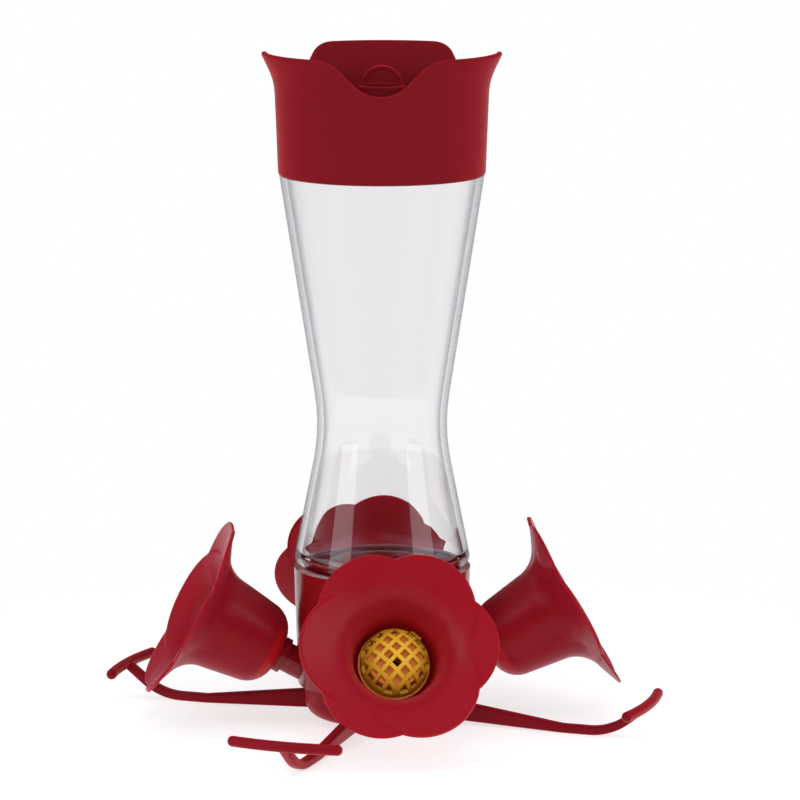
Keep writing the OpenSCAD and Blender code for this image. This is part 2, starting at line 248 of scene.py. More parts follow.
class FeederBottle(bpy.types.PropertyGroup):
    """Sizes of the glass bottle."""

    neck_radius: length("Neck radius", "Outer radius of the neck", 0.0175)
    shoulder_radius: length("Shoulder radius", "Radius just over the base", 0.0281)
    shoulder_height: length("Shoulder height", "Height of the glass's lower edge", 0.0488)
    shoulder_round: length("Shoulder rounding", "Rounding under the glass", 0.0034)
    waist_radius: length("Waist radius", "Radius of the waist's corner, before rounding", 0.0193)
    waist_height: length("Waist height", "Height of the waist's corner", 0.093)
    waist_round: length("Waist rounding", "Rounding of the waist", 0.06)
    top_radius: length("Top radius", "Radius where the glass goes under the cap", 0.0319)
    top_height: length("Top height", "Height where the glass goes under the cap", 0.173)
    crown_radius: length("Crown radius", "Radius of the closed end under the cap", 0.03024)
    wall: length("Wall", "Wall of the glass", 0.0022)
    step_height: length("Step height", "Height over which the inside narrows under the cap", 0.007)
    foot_wall: length("Foot wall", "Thickness of the glass over its lower edge", 0.0016)


class FeederCap(bpy.types.PropertyGroup):
    """Sizes of the moat cap."""

    low_radius: length("Lower radius", "Outer radius at the lower rim", 0.0321)
    taper: length("Taper", "Radius gained up to the flare", 0.0011)
    flare_height: length("Flare height", "Height of the flare's corner over the lower rim", 0.029)
    flare_round: length("Flare rounding", "Bend radius of the flare", 0.022)
    flare_out: length("Flare", "Outward reach of the petals past the flare's corner", 0.0038)
    wall: length("Wall", "Wall of the cap", 0.0018)
    valley_floor: length("Valley floor", "Half width of a valley's floor", 0.0057)
    valley_rim: length("Valley rim", "Half width of a valley at the rim", 0.0157)
    valley_depth: length("Valley depth", "Depth of the valleys", 0.011)
    valley_floor_round: length("Valley floor rounding", "Rounding of a valley's floor", 0.012)
    valley_rim_round: length("Valley rim rounding", "Rounding of a valley's rim", 0.009)
    turn: turn("Turn", "Turn of the cap against the flowers", -5.5)
    hub_radius: length("Hub radius", "Outer radius of the hub", 0.0073)
    hub_wall: length("Hub wall", "Wall of the hub", 0.0015)
    hub_height: length("Hub height", "Height of the hub's rim over the lower rim", 0.0268)
    floor_height: length("Moat floor", "Height of the moat's underside over the lower rim", 0.015)
    loop_height: length("Loop height", "Height of the hanging loop over the hub", 0.006)
    loop_thickness: length("Loop thickness", "Thickness of the hanging loop", 0.0013)
    loop_width: length("Loop width", "Width of the hanging loop's band", 0.0046)


class FeederFlowers(bpy.types.PropertyGroup):
    """Sizes of the trumpet flowers."""

    tilt: turn("Tilt", "Upward tilt of the flowers", 28.75)
    reach: length("Reach", "Distance from the axis to a flower's mouth", 0.06032)
    back_turn: turn("Back turn", "Turn of the back flower on its stem", -12.5)
    height: length("Height", "Height of a flower's mouth", 0.0365)
    tip_radius: length("Tip radius", "Radius out to the petals' tips", 0.0301)
    petal_radius: length("Petal radius", "Radius of one petal's round end", 0.0177)
    wall: length("Wall", "Wall of a flower", 0.0013)
    rim_wall: length("Rim wall", "Wall at the petals' tips", 0.0008)
    petal_step: length("Petal step", "Height of the upper petals over the lower ones", 0.0006)
    length: length("Length", "Length from the mouth to the back", 0.0315)
    stem_hole: length("Stem hole", "Radius of the hole for the stem", 0.00466)
    flare_radius: length("Flare radius", "Radius between the flare and the bell", 0.0159)
    flare_depth: length("Flare depth", "Depth of that corner behind the mouth", 0.0054)
    flare_round: length("Flare rounding", "Rounding between the flare and the bell", 0.010)
    bell_radius: length("Bell radius", "Radius at the bell's back", 0.012)
    bell_round: length("Bell rounding", "Rounding of the bell's back", 0.009)
    bell_floor: length("Bell floor", "Thickness of the bell's back", 0.0026)
    # Painted light: depth behind the mouth where the lighter red inside the throat is full
    throat_light_depth: length("Throat depth", "Depth behind the mouth where the throat's red is full", 0.016)


class FeederPerches(bpy.types.PropertyGroup):
    """Sizes of the tray and its perches."""

    lift: length("Lift", "Height of the tray's underside over the floor", 0.0014)
    turn: turn("Turn", "Turn of the arms against the flowers", -24.7)
    tray_radius: length("Tray radius", "Outer radius of the tray", 0.0243)
    tray_height: length("Tray height", "Height of the tray's rim over its underside", 0.0103)
    tray_round: length("Tray rounding", "Rounding under the tray", 0.005)
    wall: length("Wall", "Wall and floor of the tray", 0.0018)
    reach: length("Rod reach", "Distance from the axis to a perch rod", 0.087)
    height: length("Rod height", "Height of a perch rod's centre", 0.0107)
    half_arc: turn("Rod half arc", "Half of the arc that a perch rod covers", 11)
    rod_radius: length("Rod radius", "Radius of a perch rod", 0.00165)
    arm_thickness: length("Arm thickness", "Thickness of the blade arms", 0.0032)
    arm_root: length("Arm root", "Height of an arm where it leaves the tray", 0.0062)
    arm_foot: length("Arm foot", "Height of an arm at its foot", 0.0028)
    arm_slope: turn("Arm slope", "Slope of an arm where it rises to its rod", 38)
    arm_bend: length("Arm bend", "Bend radius of an arm's rise", 0.02)
    foot_start: length("Foot start", "Distance from the axis to the start of a foot", 0.0595)


class FeederColours(bpy.types.PropertyGroup):
    """Colours of the feeder's plastics and glass."""

    cap: colour("Cap", "Satin red of the moat cap", 104, 19, 27)
    # Painted sheen: lighter red where the cap's and tray's edges turn away, in place of their reflection
    # at grazing angles
    cap_painted_sheen: colour("Cap edge", "Lighter red where the cap's edges turn away", 160, 24, 36)
    flower: colour("Flower", "Soft red of the flowers", 130, 14, 26)
    # Painted light: a lighter, warmer red inside the bells, in place of the light that reaches into them
    throat_painted_light: colour("Throat", "Warm red inside the flowers' bells", 166, 20, 29)
    # Painted sheen: lighter red where a petal turns away, in place of its reflection at grazing angles
    flower_painted_sheen: colour("Flower edge", "Lighter red where a petal turns away", 160, 36, 56)
    base: colour("Base", "Glossy red of the base", 120, 12, 18)
    tray: colour("Tray", "Dark red of the tray and perches", 110, 10, 24)
    guard: colour("Guard", "Yellow of the bee guards", 196, 150, 38)
    port: colour("Port", "Orange yellow of the feeding ports", 236, 140, 66)
    glass: colour("Glass", "Tint of the glass", 248, 247, 248)
    # Painted shade: grey where the glass turns away and at its outlines
    glass_painted_shade: colour("Glass edge", "Grey of the glass where it turns away", 188, 188, 193)
    glass_painted_outline: colour("Glass rim", "What the glass lets through at its outlines", 200, 200, 204)
    seal: colour("Seal", "Grey of the seals", 150, 150, 150)


class FeederStage(bpy.types.PropertyGroup):
    """Camera, lamps and floor."""

    distance: length("Distance", "From the camera to the axis on the floor", 1.444)
    elevation: turn("Elevation", "Height of the camera as an angle over the floor", 13.66)
    azimuth: turn("Azimuth", "Direction of the camera round the axis", -94.85)
    focal: bpy.props.FloatProperty(
        name="Focal length", description="Focal length in widths of the picture", default=5.7125
    )
    aim_right: share("Aim right", "Picture widths from the picture's centre left to the axis", 0.02275)
    aim_up: share("Aim up", "Picture widths from the picture's centre down to the floor", 0.396)
    room_light: share("Room light", "Strength of the light from all round", 0.33)
    flank_light: colour("Flank light", "Light from the studio's two sides", 252, 246, 255)
    side_light: power("Side light", "Power of each side box in watts", 5.5)
    top_light: power("Top light", "Power of the top box in watts", 3.5)
    front_light: power("Front light", "Power of the box over the camera in watts", 6.3)
    box_low: colour("Box low", "What smooth surfaces mirror of the side boxes, low down", 120, 118, 130)
    box_high: colour("Box high", "What smooth surfaces mirror of the side boxes, high up", 246, 208, 255)
    left_screen: colour("Left screen", "What the glass shows of the backdrop", 242, 242, 242)
    right_screen: colour("Right screen", "What the glass shows of the backdrop's right", 212, 211, 218)
    back_sheen: share("Back sheen", "Brightness of the backdrop that smooth surfaces mirror", 0.22)
    floor_glow: share("Floor glow", "Share of the floor's white that shadows leave", 0.3)
    dark_room: share("Dark room", "Brightness of the room that smooth plastic mirrors", 0.05)


class Wire:
    """A node's socket, on which Python arithmetic adds Math nodes."""

    def __init__(self, finish, socket):
        """Keeps the finish that the socket belongs to."""
        self.finish = finish
        self.socket = socket

    def math(self, operation, *terms):
        """Adds a Math node on the terms."""
        inputs = dict(enumerate(terms))
        return self.finish.node("ShaderNodeMath", {"operation": operation}, inputs)

    def beside(self, name):
        """Another output of the same node."""
        return Wire(self.finish, self.socket.node.outputs[name])

    def __add__(self, other):
        return self.math("ADD", self, other)

    def __sub__(self, other):
        return self.math("SUBTRACT", self, other)

    def __mul__(self, other):
        return self.math("MULTIPLY", self, other)

    def __pow__(self, other):
        return self.math("POWER", self, other)

    def __rsub__(self, other):
        return self.math("SUBTRACT", other, self)

    __radd__ = __add__
    __rmul__ = __mul__


class Finish:
    """A node tree that is built one node at a time."""

    def __init__(self, tree):
        """Starts with the tree emptied."""
        self.tree = tree
        tree.nodes.clear()

    def node(self, kind, settings=None, inputs=None, output=0):
        """Adds a node, makes its settings, then sets or links its sockets."""
        made = self.tree.nodes.new(kind)
        for name, value in (settings or {}).items():
            setattr(made, name, value)
        for name, value in (inputs or {}).items():
            if isinstance(value, Wire):
                self.tree.links.new(value.socket, made.inputs[name])
            else:
                made.inputs[name].default_value = value
        return Wire(self, made.outputs[output] if made.outputs else None)

    def place(self):
        """The place of a point, in Object coordinates."""
        return self.node("ShaderNodeTexCoord", output="Object")

    def noise(self, scale, detail, stretch=(1, 1, 1)):
        """Noise from 0 to 1 with scale waves a metre, times stretch on each axis."""
        inputs = {"Vector": self.place(), "Scale": stretch}
        place = self.node("ShaderNodeMapping", inputs=inputs)
        inputs = {"Vector": place, "Scale": scale, "Detail": detail, "Roughness": 0.5}
        return self.node("ShaderNodeTexNoise", inputs=inputs)

    def between(self, value, low, high):
        """0 below low, 1 above high, and a soft step between them."""
        settings = {"interpolation_type": "SMOOTHSTEP"}
        inputs = {"Value": value, "From Min": low, "From Max": high}
        return self.node("ShaderNodeMapRange", settings, inputs)

    def blend(self, first, second, factor):
        """The colour first at factor 0, and second at factor 1."""
        inputs = {0: factor, 6: first, 7: second}
        return self.node("ShaderNodeMix", {"data_type": "RGBA"}, inputs, output=2)

    def facing(self, exponent):
        """0 where a surface is seen straight on, 1 where it turns away."""
        inputs = {"Blend": 0.5}
        return self.node("ShaderNodeLayerWeight", inputs=inputs, output="Facing") ** exponent

    def bump(self, height, depth, strength):
        """A normal for a relief of this height, with its depth in metres."""
        inputs = {"Height": height, "Distance": depth, "Strength": strength}
        return self.node("ShaderNodeBump", inputs=inputs)

    def surface(self, shader):
        """Ends a material's tree with its shader."""
        self.node("ShaderNodeOutputMaterial", inputs={"Surface": shader})


def new_finish(name):
    """A new material and the tree to build it in."""
    material = bpy.data.materials.new(name)
    material.use_nodes = True
    return material, Finish(material.node_tree)


def full(tone, level=1.0):
    """A colour with its alpha, made lighter or darker by level."""
    return tuple(min(1.0, c * level) for c in tone) + (1.0,)


def plastic(
    name,
    tone,
    edge=None,
    roughness=0.35,
    coat=0.0,
    coat_roughness=0.1,
    grain=0.3,
    edge_power=1.5,
    shine=1.28,
    softness=0.0,
    painted_light_tone=None,
    painted_light_share=None,
):
    """Moulded plastic: a soft drift of its colour, a fine mould grain and a painted sheen of lighter
    edges where it turns away.

    It takes a second colour, painted light, where a share that is a function of the finish gives 1.
    """
    material, finish = new_finish(name)
    cloud = finish.noise(CLOUD_SCALE, 3.0)
    fine = finish.noise(GRAIN_SCALE, 3.0)
    flow = finish.noise(FLOW_SCALE, 2.0, FLOW_STRETCH)
    shade = finish.blend(full(tone, 1 - CLOUD_DRIFT), full(tone, 1 + CLOUD_DRIFT), cloud)
    shade = finish.blend(shade, full(tone, FLOW_SHADE), (flow - FLOW_START) * FLOW_SHARE)
    # Painted sheen: the lighter edge colour where the surface turns away, in place of reflection at
    # grazing angles
    if edge is not None:
        shade = finish.blend(shade, full(edge), finish.facing(edge_power))
    # Painted light: the second colour where its share gives 1
    if painted_light_tone is not None:
        shade = finish.blend(shade, full(painted_light_tone), painted_light_share(finish))
    rough = roughness + (cloud - NOISE_MIDDLE) * CLOUD_ROUGH + (fine - NOISE_MIDDLE) * GRAIN_ROUGH
    normal = finish.bump(fine * grain + flow, GRAIN_DEPTH, GRAIN_STRENGTH)
    shader = finish.node(
        "ShaderNodeBsdfPrincipled",
        inputs={
            "Base Color": shade,
            "Roughness": rough,
            "Normal": normal,
            "Coat Weight": coat,
            "Coat Roughness": coat_roughness,
            "IOR": shine,
            "Subsurface Weight": softness,
            "Subsurface Radius": GLOW_RADIUS,
            "Subsurface Scale": GLOW_SCALE,
        },
    )
    finish.surface(shader)
    return material


def clear_glass(name, tint, edge, rim):
    """Clear blown glass with faint upright waves, and painted shade: grey where it turns away, seen by
    the camera only, and a grey see-through outline.
    """
    material, finish = new_finish(name)
    waves = finish.noise(WAVE_SCALE, 2.0, WAVE_STRETCH)
    fine = finish.noise(RIPPLE_SCALE, 1.0, RIPPLE_STRETCH)
    normal = finish.bump(waves + fine * RIPPLE_SHARE, WAVE_DEPTH, WAVE_STRENGTH)
    shade = finish.blend(full(tint, WAVE_SHADE), full(tint), waves)
    # Painted shade: grey where the glass turns away, on camera rays only
    seen = finish.node("ShaderNodeLightPath", output="Is Camera Ray")
    turned = finish.between(finish.facing(1.0), *PAINTED_GREY_TURN) * seen
    shade = finish.blend(shade, full(edge), turned)
    glass = finish.node(
        "ShaderNodeBsdfPrincipled",
        inputs={
            "Base Color": shade,
            "Roughness": GLASS_ROUGH + waves * WAVE_ROUGH,
            "Normal": normal,
            "IOR": GLASS_IOR,
            "Transmission Weight": 1.0,
        },
    )
    # Painted shade: a grey see-through outline where the glass turns furthest away
    painted_outline_shade = finish.node("ShaderNodeBsdfTransparent", inputs={"Color": full(rim)})
    outline_shade_share = finish.between(finish.facing(1.0), *PAINTED_OUTLINE_TURN) * PAINTED_OUTLINE_SHARE
    glass = finish.node("ShaderNodeMixShader", inputs={0: outline_shade_share, 1: glass, 2: painted_outline_shade})
    clear = finish.node("ShaderNodeBsdfTransparent", inputs={"Color": SHADOW_TINT})
    shadow = finish.node("ShaderNodeLightPath", output="Is Shadow Ray")
    finish.surface(finish.node("ShaderNodeMixShader", inputs={0: shadow, 1: glass, 2: clear}))
    return material


def unit(v):
    """The vector made 1 long."""
    return v / v.length


def left_of(v):
    """The vector turned a quarter turn to the left."""
    return Vector((-v.y, v.x))


def rounded(corners, radii):
    """A path through the corners, each rounded with its radius."""
    points = []
    for i, (corner, radius) in enumerate(zip(corners, radii)):
        if radius <= 0 or i in (0, len(corners) - 1):
            points.append(Vector(corner))
            continue
        before = unit(Vector(corner) - Vector(corners[i - 1]))
        after = unit(Vector(corners[i + 1]) - Vector(corner))
        angle = before.angle_signed(after, 0.0) * -1
        back = radius * math.tan(abs(angle) / 2)
        start = Vector(corner) - before * back
        centre = start + left_of(before) * math.copysign(radius, angle)
        steps = max(2, math.ceil(abs(angle) / ROUND_STEP))
        for k in range(steps + 1):
            points.append(centre + Matrix.Rotation(angle * k / steps, 2) @ (start - centre))
    return points


def shifted(corners, distance):
    """The corners of a path that runs at a distance on the left."""
    points = [Vector(c) for c in corners]
    moved = []
    for i, point in enumerate(points):
        before = unit(points[max(i, 1)] - points[max(i, 1) - 1])
        j = min(i, len(points) - 2)
        after = unit(points[j + 1] - points[j])
        a = left_of(before)
        b = left_of(after)
        moved.append(point + (a + b) * distance / (1 + a.dot(b)))
    return moved


def shifted_radii(corners, radii, distance):
    """The roundings of that shifted path."""
    points = [Vector(c) for c in corners]
    made = []
    for i, radius in enumerate(radii):
        if radius <= 0 or i in (0, len(points) - 1):
            made.append(0)
            continue
        before = points[i] - points[i - 1]
        after = points[i + 1] - points[i]
        angle = before.angle_signed(after, 0.0) * -1
        made.append(radius - math.copysign(distance, angle))
    return made


def spaced(points, gap):
    """The same path with no two points further apart than gap."""
    made = [points[0]]
    for a, b in zip(points, points[1:]):
        count = max(1, math.ceil((b - a).length / gap))
        made.extend(a.lerp(b, k / count) for k in range(1, count + 1))
    return made


def round_end(a, b, steps):
    """A half circle from point a to point b, on the right of the way from a to b."""
    centre = (a + b) / 2
    turns = [Matrix.Rotation(math.pi * k / steps, 2) for k in range(1, steps)]
    return [centre + step @ (a - centre) for step in turns]


def lathe(bm, points, steps, closed=True):
    """Turns a path of radius and height about the axis."""
    verts = [bm.verts.new((p.x, 0, p.y)) for p in points]
    pairs = list(zip(verts, verts[1:]))
    if closed:
        pairs.append((verts[-1], verts[0]))
    edges = [bm.edges.new(pair) for pair in pairs]
    bmesh.ops.spin(
        bm,
        geom=verts + edges,
        cent=(0, 0, 0),
        axis=(0, 0, 1),
        dvec=(0, 0, 0),
        angle=2 * math.pi,
        steps=steps,
        use_merge=True,
        use_duplicate=False,
    )


def rotate(bm, verts, angle, axis):
    """Turns points about an axis through the origin."""
    turned = Matrix.Rotation(angle, 3, axis)
    bmesh.ops.rotate(bm, verts=verts, cent=(0, 0, 0), matrix=turned)


def round_section(bm, radius):
    """A ring of points, the section of a round bar."""
    ring = bmesh.ops.create_circle(bm, cap_ends=False, radius=radius, segments=ROUND_POINTS)
    return ring["verts"]


def sweep(bm, section, centre, axis, angle, steps):
    """Turns a section about an axis into a bent bar with open ends."""
    edges = list({e for v in section for e in v.link_edges})
    bmesh.ops.spin(
        bm,
        geom=section + edges,
        cent=centre,
        axis=axis,
        dvec=(0, 0, 0),
        angle=angle,
        steps=steps,
        use_merge=False,
        use_duplicate=False,
    )


def finished_piece(bm, name, material, body, replaced):
    """Closes a bmesh into a smooth piece that rides on a body and stands for CAD nodes."""
    bmesh.ops.remove_doubles(bm, verts=bm.verts[:], dist=MERGE_DISTANCE)
    bmesh.ops.recalc_face_normals(bm, faces=bm.faces[:])
    mesh = bpy.data.meshes.new(name)
    bm.to_mesh(mesh)
    bm.free()
    mesh.shade_smooth()
    mesh.set_sharp_from_angle(angle=SHARP_ANGLE)
    piece = bpy.data.objects.new(name, mesh)
    bpy.context.scene.collection.objects.link(piece)
    piece.data.materials.append(material)
    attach(piece, body)
    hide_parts(*replaced)
    return piece


def dress(node, material):
    """Gives a carried-over CAD node its material."""
    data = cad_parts[node].data
    data.materials.clear()
    data.materials.append(material)


class FEEDER_OT_bottle(bpy.types.Operator):
    """Blow the glass bottle"""

    bl_idname = "feeder.bottle"
    bl_label = "Glass bottle"

    def execute(self, context):
        s = context.scene.feeder_bottle
        low = GLASS_LOW.z
        crown = GLASS_HIGH.z
        inner = s.wall
        outside = [
            (s.neck_radius, low),
            (s.neck_radius, s.shoulder_height),
            (s.shoulder_radius, s.shoulder_height),
            (s.waist_radius, s.waist_height),
            (s.top_radius, s.top_height),
            (s.crown_radius, s.top_height + CAP_LEDGE),
            (s.crown_radius, crown),
            (0, crown),
        ]
        outside_radii = [0, NECK_ROUND, s.shoulder_round, s.waist_round]
        outside_radii += [LEDGE_ROUND, LEDGE_FOOT_ROUND, CROWN_ROUND, 0]
        inside = [
            (0, crown - inner),
            (s.crown_radius - inner, crown - inner),
            (s.crown_radius - inner, s.top_height + s.step_height),
            (s.top_radius - inner, s.top_height),
            (s.waist_radius - inner, s.waist_height),
            (s.shoulder_radius - inner, s.shoulder_height + s.foot_wall),
            (s.neck_radius - NECK_WALL, s.shoulder_height + s.foot_wall),
            (s.neck_radius - NECK_WALL, low),
        ]
        inside_radii = [0, CROWN_ROUND, STEP_ROUND, STEP_ROUND]
        inside_radii += [s.waist_round, s.shoulder_round, MOUTH_ROUND, 0]
        path = spaced(rounded(outside, outside_radii), GLASS_GAP)
        path += spaced(rounded(inside, inside_radii), GLASS_GAP)
        bm = bmesh.new()
        lathe(bm, path, GLASS_STEPS, closed=False)
        lip = [e for e in bm.edges if e.is_boundary and e.verts[0].co.xy.length > 0.001]
        bmesh.ops.bridge_loops(bm, edges=lip)
        c = context.scene.feeder_colours
        material = clear_glass("clear_glass", c.glass, c.glass_painted_shade, c.glass_painted_outline)
        finished_piece(bm, "bottle_glass", material, "bottle", ["bottle"])
        return {"FINISHED"}


class FEEDER_OT_cap(bpy.types.Operator):
    """Mould the moat cap with its three petals, hub and hanging loop"""

    bl_idname = "feeder.cap"
    bl_label = "Moat cap"

    def execute(self, context):
        s = context.scene.feeder_cap
        low = CAP_LOW.z
        high = CAP_HIGH.z
        corners = [
            (s.low_radius, low),
            (s.low_radius + s.taper, low + s.flare_height),
            (s.low_radius + s.taper + s.flare_out, high),
        ]
        radii = [0, s.flare_round, 0]
        outside = spaced(rounded(corners, radii), CAP_GAP)
        inner_radii = shifted_radii(corners, radii, s.wall)
        inside = spaced(rounded(shifted(corners, s.wall), inner_radii), CAP_GAP)
        inside.reverse()
        path = outside + round_end(outside[-1], inside[0], CAP_EDGE_STEPS)
        path += inside + round_end(inside[-1], outside[0], CAP_EDGE_STEPS)
        top = max(p.y for p in path)
        path = [Vector((p.x, min(p.y, top))) for p in path]
        valley = rounded(
            [
                (0, high - s.valley_depth),
                (s.valley_floor, high - s.valley_depth),
                (s.valley_rim, high),
                (3 * s.valley_rim, high),
            ],
            [0, s.valley_floor_round, s.valley_rim_round, 0],
        )

        def rim_at(across):
            """Height of the cap's rim at a distance across from a valley's middle."""
            for a, b in zip(valley, valley[1:]):
                if a.x <= across <= b.x:
                    return a.y + (b.y - a.y) * (across - a.x) / max(b.x - a.x, NEXT_TO_NOTHING)
            return high

        bm = bmesh.new()
        lathe(bm, path, CAP_STEPS)
        fixed = low + s.flare_height * STILL_SHARE
        lift = high - top
        middle = s.low_radius + s.taper + s.flare_out / 2
        for v in bm.verts:
            v.co.z += lift * max(0.0, (v.co.z - fixed) / (top - fixed))
        for v in bm.verts:
            if v.co.z <= fixed:
                continue
            reach = v.co.xy.length
            around = math.atan2(v.co.x, -v.co.y)
            around = (around + math.pi / 3) % (2 * math.pi / 3) - math.pi / 3
            rim = rim_at(abs(math.sin(around)) * middle)
            part = (v.co.z - fixed) / (high - fixed)
            v.co.z = fixed + part * (rim - fixed)
            pull = self.flare_at(corners, radii, fixed + part * (high - fixed))
            pull -= self.flare_at(corners, radii, v.co.z)
            v.co.xy = v.co.xy * ((reach - pull) / reach)
        floor = low + s.floor_height
        hub_inner = s.hub_radius - s.hub_wall
        hub_top = low + s.hub_height
        wall_inner = s.low_radius - s.wall / 2
        shelf = [
            (wall_inner, floor),
            (wall_inner, floor + s.wall),
            (s.hub_radius, floor + s.wall),
            (s.hub_radius, hub_top),
            (hub_inner, hub_top),
            (hub_inner, floor),
            (wall_inner, floor),
        ]
        shelf_radii = [0, 0, HUB_FOOT_ROUND, HUB_RIM_ROUND, HUB_RIM_ROUND, HUB_BORE_ROUND, 0]
        lathe(bm, rounded(shelf, shelf_radii)[:-1], SHELF_STEPS)
        self.add_loop(bm, s, hub_top)
        rotate(bm, bm.verts[:], s.turn, "Z")
        c = context.scene.feeder_colours
        # Painted sheen: lighter red where the cap's edges turn away
        material = plastic(
            "red_plastic", c.cap, c.cap_painted_sheen, roughness=0.34, grain=0.4, edge_power=2.0, shine=1.05
        )
        finished_piece(bm, "moat_cap_skin", material, "bottle", ["moat_cap"])
        return {"FINISHED"}

    def flare_at(self, corners, radii, height):
        """Radius of the cap's outside at a height."""
        path = rounded(corners, radii)
        for a, b in zip(path, path[1:]):
            if a.y <= height <= b.y:
                return a.x + (b.x - a.x) * (height - a.y) / (b.y - a.y)
        return path[-1].x

    def add_loop(self, bm, s, hub_top):
        """The arched band over the hub, with rounded edges."""
        foot = s.hub_radius - s.hub_wall / 2
        radius = (foot**2 + s.loop_height**2) / (2 * s.loop_height)
        centre = hub_top + s.loop_height - radius
        half = math.asin(foot / radius) if centre <= hub_top else math.pi - math.asin(foot / radius)
        half += LOOP_SINK
        section = round_section(bm, 1.0)
        bmesh.ops.scale(bm, verts=section, vec=(s.loop_thickness / 2, s.loop_width / 2, 1))
        for v in section:
            v.co.x = math.copysign(min(abs(v.co.x) * LOOP_SQUARE, s.loop_thickness / 2), v.co.x)
            v.co.y = math.copysign(min(abs(v.co.y) * LOOP_SQUARE, s.loop_width / 2), v.co.y)
        bmesh.ops.translate(bm, verts=section, vec=(radius - s.loop_thickness / 2, 0, 0))
        rotate(bm, section, half - math.pi / 2, "Y")
        bmesh.ops.translate(bm, verts=section, vec=(0, 0, centre))
        sweep(bm, section, (0, 0, centre), (0, 1, 0), -2 * half, LOOP_STEPS)
        holes = [e for e in bm.edges if e.is_boundary]
        bmesh.ops.holes_fill(bm, edges=holes, sides=0)


class FEEDER_OT_flowers(bpy.types.Operator):
    """Mould the four trumpet flowers with their overlapping petals"""

    bl_idname = "feeder.flowers"
    bl_label = "Flowers"

    def execute(self, context):
        s = context.scene.feeder_flowers
        c = context.scene.feeder_colours
        # Painted sheen where petals turn away, and painted light inside the bells
        material = plastic(
            "flower_red_plastic",
            c.flower,
            c.flower_painted_sheen,
            roughness=0.32,
            grain=0.4,
            edge_power=2.6,
            shine=1.2,
            softness=0.4,
            painted_light_tone=c.throat_painted_light,
            painted_light_share=lambda finish: self.painted_throat_light_share(finish, s),
        )
        for i, side in enumerate(SIDES):
            bm = bmesh.new()
            self.build_flower(bm, s)
            if side == "back":
                rotate(bm, bm.verts[:], s.back_turn, "Z")
            place = Matrix.Rotation(math.pi / 2 * i, 4, "Z")
            place = place @ Matrix.Translation((s.reach, 0, s.height))
            place = place @ Matrix.Rotation(math.pi / 2 - s.tilt, 4, "Y")
            bmesh.ops.transform(bm, matrix=place, verts=bm.verts[:])
            node = "flower_" + side
            finished_piece(bm, node + "_petals", material, "base", [node])
        return {"FINISHED"}

    def painted_throat_light_share(self, finish, s):
        """Share of painted light: 1 on the inside of a flower's bell, 0 on its petals and on its
        outside.
        """
        parts = finish.node("ShaderNodeSeparateXYZ", inputs={"Vector": finish.place()})
        x = parts.math("ABSOLUTE", parts)
        y = parts.math("ABSOLUTE", parts.beside("Y"))
        out = parts.math("MAXIMUM", x, y) - s.reach
        aside = parts.math("MINIMUM", x, y)
        up = parts.beside("Z") - s.height
        along = out * math.cos(s.tilt) + up * math.sin(s.tilt)
        above = up * math.cos(s.tilt) - out * math.sin(s.tilt)
        across = (aside * aside + above * above) ** 0.5
        slope = (s.flare_radius - s.bell_radius) / (s.length - s.flare_depth)
        skin = across - (along + s.flare_depth) * slope - s.flare_radius
        inside = 1 - finish.between(skin, *(part * s.wall for part in THROAT_LIGHT_SKIN))
        return inside * (1 - finish.between(along, -s.throat_light_depth, -s.throat_light_depth / 2))

    def build_flower(self, bm, s):
        """One flower about the axis, with its mouth up at height 0 and drawn in to six petals."""
        corners = [
            (s.stem_hole, -s.length),
            (s.bell_radius, -s.length),
            (s.flare_radius, -s.flare_depth),
            (s.tip_radius, 0),
        ]
        radii = [0, s.bell_round, s.flare_round, 0]
        front = shifted(corners, s.wall)
        flare = unit(Vector(corners[3]) - Vector(corners[2]))
        front[3] = Vector(corners[3]) + left_of(flare) * s.rim_wall
        floor = s.bell_floor - s.length
        inside = [
            (s.stem_hole, floor),
            (s.bell_radius - s.wall, floor),
            front[2],
            front[3],
        ]
        inside_radii = [0, s.bell_round - s.wall, s.flare_round + s.wall, 0]
        outer = spaced(rounded(corners, radii), FLOWER_GAP)
        inner = spaced(rounded(inside, inside_radii), FLOWER_GAP)
        inner.reverse()
        path = outer + round_end(outer[-1], inner[0], PETAL_EDGE_STEPS) + inner
        lathe(bm, path, FLOWER_STEPS)
        centre = s.tip_radius - s.petal_radius
        bell = s.flare_radius * PETAL_START
        for v in bm.verts:
            reach = v.co.xy.length
            if v.co.z < -s.flare_depth * PETAL_BACK or reach < bell * PETAL_MARGIN:
                continue
            around = math.atan2(v.co.y, v.co.x)
            off = (around % (math.pi / 3)) - math.pi / 6
            tip = centre * math.cos(off)
            tip += math.sqrt(s.petal_radius**2 - (centre * math.sin(off)) ** 2)
            part = max(0.0, (reach - bell) / (s.tip_radius - bell))
            pulled = part * (s.tip_radius - tip)
            slope = s.flare_depth / (s.tip_radius - s.flare_radius)
            v.co.xy = v.co.xy * ((reach - pulled) / reach)
            v.co.z -= slope * pulled * part
        self.raise_petals(bm, s, centre)

    def raise_petals(self, bm, s, centre):
        """Lifts the three upper petals over the three lower ones on the front."""
        bm.normal_update()
        for v in bm.verts:
            reach = v.co.xy.length
            if v.co.z < -s.flare_depth * LAP_BACK or reach < s.flare_radius * PETAL_MARGIN:
                continue
            inside = -1.0
            for k in range(3):
                turn_k = math.radians(30 + 120 * k)
                middle = Vector((math.cos(turn_k), math.sin(turn_k))) * centre
                inside = max(inside, s.petal_radius - (v.co.xy - middle).length)
            lift = min(1.0, max(0.0, (inside + LAP_EDGE) / LAP_WIDTH))
            lift = lift * lift * (3 - 2 * lift)
            fade = min(1.0, max(0.0, (reach - s.flare_radius * LAP_START) / LAP_FADE))
            v.co.z += s.petal_step * lift * fade


